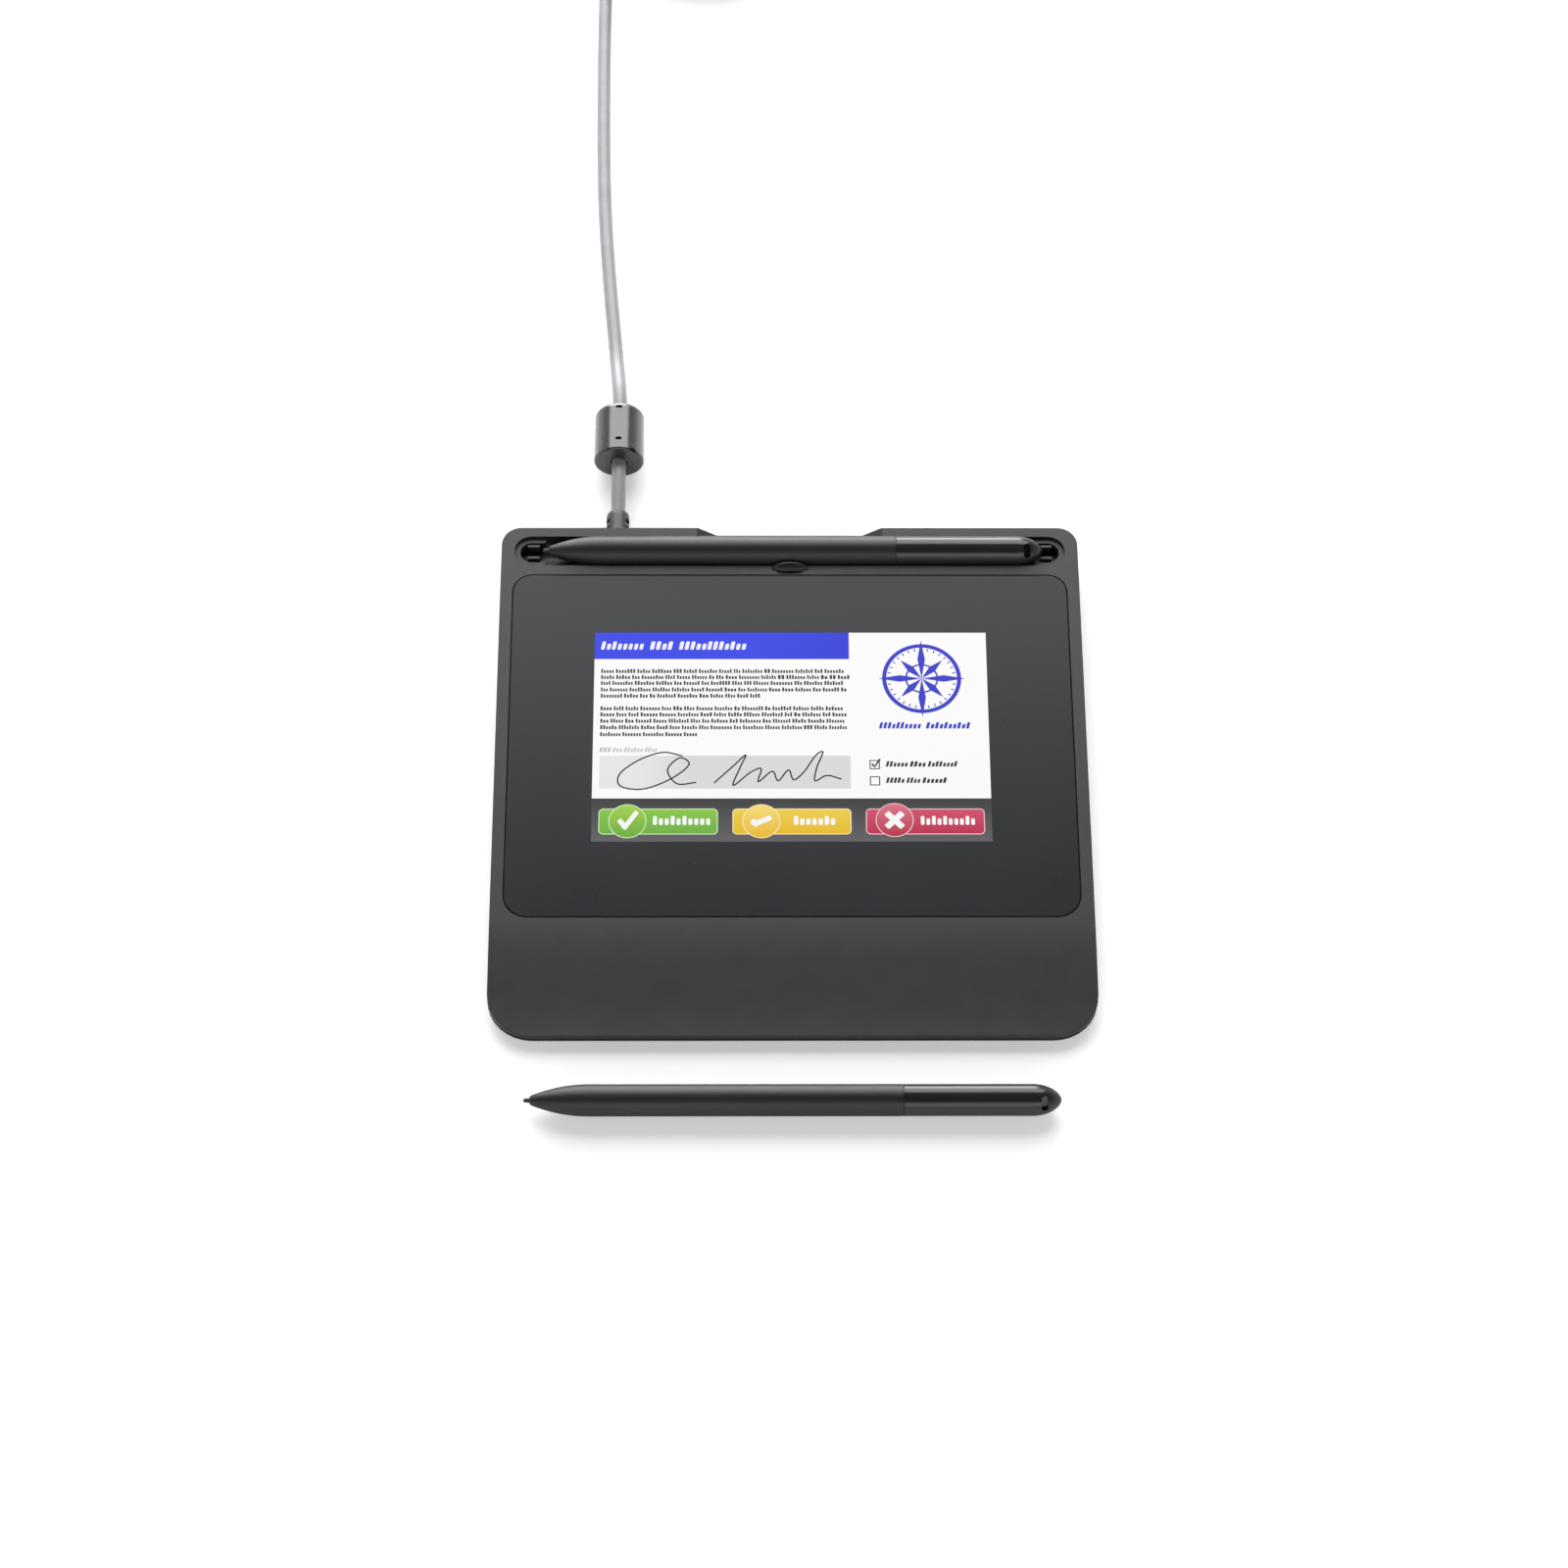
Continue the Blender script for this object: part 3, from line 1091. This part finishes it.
def ferrite_half(name, profile, material, turn, centre):
    """One half of a turned tube, split along its axis."""
    matrix = Matrix.Translation(centre) @ TURN_TO_Y
    half = turned(name, profile, FERRITE_STEPS, material=material, matrix=matrix)
    reach = FERRITE_DIAMETER
    outline = box_outline((-reach, -reach), (reach, FERRITE_SPLIT_GAP / 2))
    graph = plate_graph(outline, -OVERRUN, FERRITE_LENGTH + OVERRUN)
    placing = matrix @ Matrix.Rotation(turn, 4, "Z")
    bmesh.ops.transform(graph, matrix=placing, verts=graph.verts)
    combine(half, tool(f"{name}_split", own_mesh(f"{name}_split", graph)), "DIFFERENCE")


def add_latches(half, centre):
    """The latch windows along the top of the clamp, and the release notch in its near rim."""
    cuts = [((LATCH_WIDTH, LATCH_LENGTH), FERRITE_LENGTH * share, 0) for share in LATCH_PLACE_SHARES]
    cuts.append(((RELEASE_WIDTH, 2 * RELEASE_LENGTH), 0, RELEASE_TURN))
    for number, (size, along, turn) in enumerate(cuts, 1):
        outline = centred_outline((0, along), size, LATCH_CORNER, LATCH_STEPS)
        graph = plate_graph(outline, FERRITE_RADIUS - LATCH_DEPTH, FERRITE_RADIUS + OVERRUN)
        placing = Matrix.Translation(centre) @ Matrix.Rotation(turn, 4, "Y")
        bmesh.ops.transform(graph, matrix=placing, verts=graph.verts)
        name = f"clamp_latch_{number}"
        combine(half, tool(name, own_mesh(name, graph)), "DIFFERENCE")


def build_ferrite():
    """The snap-on ferrite clamp: two half shells round two half cores, lying on the table."""
    radius, bore = FERRITE_RADIUS, FERRITE_BORE_DIAMETER / 2
    inner = radius - FERRITE_SHELL_WALL
    length, ends, soft = FERRITE_LENGTH, FERRITE_END_WALL, FERRITE_END_ROUNDING
    far = arc((radius - soft, length - soft), (soft, soft), math.pi / 2, 0, 4)
    shell = [
        (bore, length),
        *far,
        (radius, SEAT_GAP),
        (radius - SEAT_GAP, 0),
        (bore, 0),
        (bore, ends),
        (inner, ends),
        (inner, length - ends),
        (bore, length - ends),
    ]
    gap = STACK_GAP
    core = [
        (inner - gap, length - ends - gap),
        (inner - gap, ends + gap),
        (bore, ends + gap),
        (bore, length - ends - gap),
    ]
    centre = (CABLE_EXIT_X, FERRITE_START_Y, FERRITE_RADIUS)
    for word, turn in (("lower", FERRITE_SPLIT_TURN), ("upper", FERRITE_SPLIT_TURN + math.pi)):
        ferrite_half(f"ferrite_shell_{word}", shell, FERRITE_SHELL_PLASTIC, turn, centre)
        ferrite_half(f"ferrite_core_{word}", core, FERRITE, turn, centre)
    add_latches(bpy.data.objects["ferrite_shell_upper"], centre)


def coil_point(turns):
    """A point of the coil's centre line, counted in turns from its start at the coil's left side."""
    layer = min(int(turns // COIL_TURNS_PER_LAYER), COIL_LAYERS - 1)
    along = turns - layer * COIL_TURNS_PER_LAYER
    inwards = layer % 2 == 0
    radius = COIL_OUTER - COIL_PITCH * along if inwards else COIL_INNER + COIL_PITCH * along
    climb = 0
    for step in range(1, COIL_LAYERS):
        start = step * COIL_TURNS_PER_LAYER - COIL_CLIMB_SHARE / 2
        climb += COIL_PITCH * ease((turns - start) / COIL_CLIMB_SHARE)
    angle = math.pi - math.tau * turns
    return COIL_CENTRE + Vector((radius * math.cos(angle), radius * math.sin(angle), climb))


def least_gap(points, diameter, skip):
    """Least clear distance between parts of a tube that lie more than skip points apart."""
    least = None
    for i, point in enumerate(points):
        for other in points[i + skip :]:
            gap = (point - other).length - diameter
            if least is None or gap < least:
                least = gap
    return least


def length_of(points):
    """Length along a list of points."""
    return sum((b - a).length for a, b in zip(points, points[1:]))


def build_lead():
    """The USB lead: the run on the table, the coil of the length that is put away, its tie and its tail."""
    clamp_far = Vector((CABLE_EXIT_X, FERRITE_END_Y, 0))
    middle = FERRITE_LENGTH / 2
    route = [
        (CABLE_EXIT_X, SHEATH_START_Y, CABLE_EXIT_Z),
        (CABLE_EXIT_X, (SHEATH_START_Y + RELIEF_END_Y) / 2, CABLE_EXIT_Z),
        (CABLE_EXIT_X, RELIEF_END_Y, CABLE_EXIT_Z),
        (CABLE_EXIT_X, FERRITE_START_Y - CABLE_DIAMETER, FERRITE_RADIUS),
        (CABLE_EXIT_X, FERRITE_START_Y + middle, FERRITE_RADIUS),
        (CABLE_EXIT_X, FERRITE_END_Y, FERRITE_RADIUS),
    ]
    route += [clamp_far + Vector(point) for point in LEAD_ROUTE]
    lead = smooth_route(route, LEAD_POINTS)
    tube("cable_lead", lead, CABLE_DIAMETER, CABLE_STEPS_RESOLUTION, CABLE_SHEATH)
    count = round(COIL_TURNS * COIL_POINTS_PER_TURN)
    coil = [coil_point(COIL_TURNS * i / count) for i in range(count + 1)]
    last = coil[-1]
    coil = [Vector((COIL_START.x, COIL_START.y - CABLE_DIAMETER + SEAT_GAP, COIL_BASE_Z)), *coil]
    coil.append(last + Vector((CABLE_DIAMETER, 0, 0)))
    tube("cable_coil", coil, CABLE_DIAMETER, COIL_STEPS_RESOLUTION, CABLE_SHEATH)
    fall = COIL_TOP_Z - PLUG_CENTRE_Z
    tail = []
    for i in range(TAIL_POINTS + 1):
        x = TAIL_START_X + (TAIL_END_X - TAIL_START_X) * i / TAIL_POINTS
        share = (x - TAIL_START_X - TAIL_LEVEL_RUN) / (TAIL_FALL_RUN - CABLE_DIAMETER)
        tail.append(Vector((x, PLUG_Y, COIL_TOP_Z - fall * ease(share))))
    tube("cable_tail", tail, CABLE_DIAMETER, CABLE_STEPS_RESOLUTION, CABLE_SHEATH)
    print(f"lead {length_of(lead):.4f} coil {length_of(coil):.4f} tail {length_of(tail):.4f} m")
    least = least_gap(coil, CABLE_DIAMETER, COIL_POINTS_PER_TURN // 2)
    print(f"coil's least gap to itself {1000 * least:.3f} mm")


def build_tie():
    """The tie round the coil's bundle: a strap loop, square to the turns."""
    wide = COIL_SPREAD + CABLE_DIAMETER + 2 * TIE_CLEARANCE
    tall = (COIL_LAYERS - 1) * COIL_PITCH + CABLE_DIAMETER + 2 * TIE_CLEARANCE
    corner = CABLE_RADIUS
    across = COIL_MID_DIAMETER / 2
    middle = tall / 2 - CABLE_RADIUS - TIE_CLEARANCE
    size = (wide + 2 * TIE_THICKNESS, tall + TIE_THICKNESS)
    loop = centred_outline((across, middle + TIE_THICKNESS / 2), size, corner + TIE_THICKNESS, 3)
    strap = place("coil_tie", bar_along_y("coil_tie", loop, -TIE_WIDTH / 2, TIE_WIDTH / 2), TIE_WRAP)
    turning = Matrix.Translation(COIL_CENTRE) @ Matrix.Rotation(TIE_TURN, 4, "Z")
    strap.matrix_local = turning
    hole = centred_outline((across, middle), (wide, tall), corner, 3)
    cutter = tool("tie_hole", bar_along_y("tie_hole", hole, -TIE_WIDTH, TIE_WIDTH))
    cutter.matrix_local = turning
    combine(strap, cutter, "DIFFERENCE")


def build_plug():
    """The USB plug at the lead's far end: boot and overmould, metal shell and tongue, along +X."""
    start = PLUG_START_X
    body_start = start + PLUG_BOOT_LENGTH
    graph = plate_graph(
        centred_outline((0, 0), (PLUG_WIDTH, PLUG_HEIGHT), PLUG_CORNER, PLUG_BEND_STEPS), 0, PLUG_LENGTH
    )
    soften_rim(graph, 1, PLUG_SHELL_CORNER, 1)
    soften_rim(graph, -1, PLUG_CORNER / 2, 2)
    placing = Matrix.Translation((body_start, PLUG_Y, PLUG_CENTRE_Z)) @ PLATE_ALONG_X
    bmesh.ops.transform(graph, matrix=placing, verts=graph.verts)
    body = place("usb_plug_body", own_mesh("usb_plug_body", graph), CABLE_SHEATH)
    end = PLUG_BOOT_LENGTH + PLUG_CORNER
    profile = [(0, end), (PLUG_BOOT_DIAMETER / 2, end), (CABLE_RADIUS + STACK_GAP, 0), (0, 0)]
    turn = Matrix.Translation((start, PLUG_Y, PLUG_CENTRE_Z)) @ Matrix.Rotation(math.pi / 2, 4, "Y")
    combine(body, turned("plug_boot", profile, RELIEF_STEPS, matrix=turn), "UNION")
    face = body_start + PLUG_LENGTH
    size = (PLUG_SHELL_WIDTH, PLUG_SHELL_HEIGHT)
    shell_start = face + STACK_GAP
    axis = (PLUG_Y, PLUG_CENTRE_Z)
    outline = centred_outline(axis, size, PLUG_SHELL_CORNER, 2)
    shell = bar_along_x("usb_plug_shell", outline, shell_start, shell_start + PLUG_SHELL_LENGTH)
    metal = place("usb_plug_shell", shell, SHEET_STEEL)
    inner = (PLUG_SHELL_WIDTH - 2 * PLUG_SHELL_WALL, PLUG_SHELL_HEIGHT - 2 * PLUG_SHELL_WALL)
    outline = centred_outline(axis, inner, STACK_GAP, 2)
    bore_end = shell_start + PLUG_SHELL_LENGTH + OVERRUN
    bore = bar_along_x("plug_bore", outline, shell_start - OVERRUN, bore_end)
    combine(metal, tool("plug_bore", bore), "DIFFERENCE")
    low = PLUG_CENTRE_Z - inner[1] / 2 + STACK_GAP
    half = PLUG_TONGUE_WIDTH / 2
    outline = box_outline((PLUG_Y - half, low), (PLUG_Y + half, low + PLUG_TONGUE_HEIGHT))
    end = shell_start + PLUG_SHELL_LENGTH - PLUG_TONGUE_SET_BACK
    place("usb_plug_tongue", bar_along_x("usb_plug_tongue", outline, shell_start, end), CONNECTOR_PLASTIC)


def nose_radius(along):
    """The barrel's outer radius, along from its nose."""
    share = min(along / PEN_NOSE_LENGTH, 1)
    nose = PEN_NOSE_DIAMETER / 2
    return nose + (PEN_RADIUS - nose) * (1 - (1 - share) ** 2)


def build_pen(word, origin, slot_lean):
    """One pen along +X from its nib's tip: barrel, cap with its tether slot, nib and coil core."""
    frame = bpy.data.objects.new(f"{word}_pen_frame", None)
    frame.matrix_local = Matrix.Translation(origin) @ Matrix.Rotation(math.pi / 2, 4, "Y")
    PARTS.objects.link(frame)
    bpy.context.view_layer.update()
    start, nose = PEN_NOSE_START, PEN_NOSE_LENGTH
    seam = PEN_CAP_SEAM / 2
    hole = NIB_HOLE_RADIUS
    rings = [start + nose * i / NOSE_RINGS for i in range(NOSE_RINGS, -1, -1)]
    outer = [(nose_radius(z - start), z) for z in rings]
    collar = (PEN_NOSE_DIAMETER / 2 - PEN_NOSE_COLLAR, start - PEN_NOSE_COLLAR)
    bore_start = start + nose
    profile = [
        (PEN_BORE_RADIUS, PEN_SPLIT - seam),
        (PEN_RADIUS, PEN_SPLIT - seam),
        *outer,
        collar,
        (hole, start - PEN_NOSE_COLLAR),
        (hole, start + nose / 2),
        (PEN_BORE_RADIUS, bore_start),
    ]
    turned(f"{word}_pen_barrel", profile, PEN_STEPS, frame, PEN_BARREL_PLASTIC)
    spigot = PEN_BORE_RADIUS - STACK_GAP
    reaches = [math.sin(math.pi / 2 * i / CAP_RINGS) for i in range(CAP_RINGS - 1, -1, -1)]
    dome = [(0, PEN_LENGTH)]
    dome += [
        (
            PEN_RADIUS * (1 - reach**2) ** PEN_CAP_POINTEDNESS_SHARE,
            PEN_LENGTH - PEN_CAP_ROUNDING * (1 - reach),
        )
        for reach in reaches
    ]
    profile = [
        *dome,
        (PEN_RADIUS, PEN_SPLIT + seam),
        (spigot, PEN_SPLIT + seam),
        (spigot, PEN_SPLIT - PEN_SPIGOT_LENGTH),
        (0, PEN_SPLIT - PEN_SPIGOT_LENGTH),
    ]
    cap = turned(f"{word}_pen_cap", profile, PEN_STEPS, frame, PEN_CAP_PLASTIC)
    centre = PEN_LENGTH - TETHER_SLOT_FROM_END - TETHER_SLOT_WIDTH / 2
    size = (TETHER_SLOT_HEIGHT, TETHER_SLOT_WIDTH)
    slot = centred_outline((0, 0), size, TETHER_SLOT_WIDTH / 2 - STACK_GAP, 4)
    graph = plate_graph(slot, -PEN_DIAMETER, PEN_DIAMETER)
    upright = Matrix.Rotation(math.pi / 2, 4, "X")
    turn = Matrix.Translation((0, 0, centre)) @ Matrix.Rotation(slot_lean - math.pi / 2, 4, "Z") @ upright
    bmesh.ops.transform(graph, matrix=turn, verts=graph.verts)
    combine(cap, tool(f"{word}_tether_slot", own_mesh(f"{word}_tether_slot", graph), frame), "DIFFERENCE")
    core_start = start + PEN_CORE_FRONT
    core_end = PEN_SPLIT - PEN_SPIGOT_LENGTH - PEN_CORE_END_ROOM
    core_radius = PEN_BORE_RADIUS - SEAT_GAP
    profile = [(0, core_end), (core_radius, core_end), (core_radius, core_start), (0, core_start)]
    turned(f"{word}_pen_core", profile, NIB_STEPS, frame, COPPER)
    shank_end = core_start - NIB_TRAVEL - SEAT_GAP
    shank_start = start + NIB_COLLAR_SET_BACK
    tip = arc((0, NIB_RADIUS), (NIB_RADIUS, NIB_RADIUS), 0, -math.pi / 2, 3)
    shank = NIB_SHANK_RADIUS
    profile = [(0, shank_end), (shank, shank_end), (shank, shank_start), *tip[:-1], (0, 0)]
    turned(f"{word}_pen_nib", profile, NIB_STEPS, frame, NIB_PLASTIC)


def build_pens():
    """The pen in the tray, its axis level with the deck, and the pen that lies in front of the pad."""
    axis_y = DISPLAY_Y + TRAY_Y * math.cos(DECK_TILT)
    axis_z = DISPLAY_HEIGHT + TRAY_Y * math.sin(DECK_TILT)
    build_pen("stowed", (STOWED_PEN_SHIFT - PEN_LENGTH / 2, axis_y, axis_z), STOWED_SLOT_LEAN)
    build_pen("loose", (-LOOSE_PEN_SHIFT - PEN_LENGTH / 2, LOOSE_PEN_Y, PEN_RADIUS), LOOSE_SLOT_LEAN)


build_top_case()
build_bottom_case()
build_feet()
build_screws()
build_glass()
build_display()
build_board()
build_strain_relief()
build_ferrite()
build_lead()
build_tie()
build_plug()
build_pens()
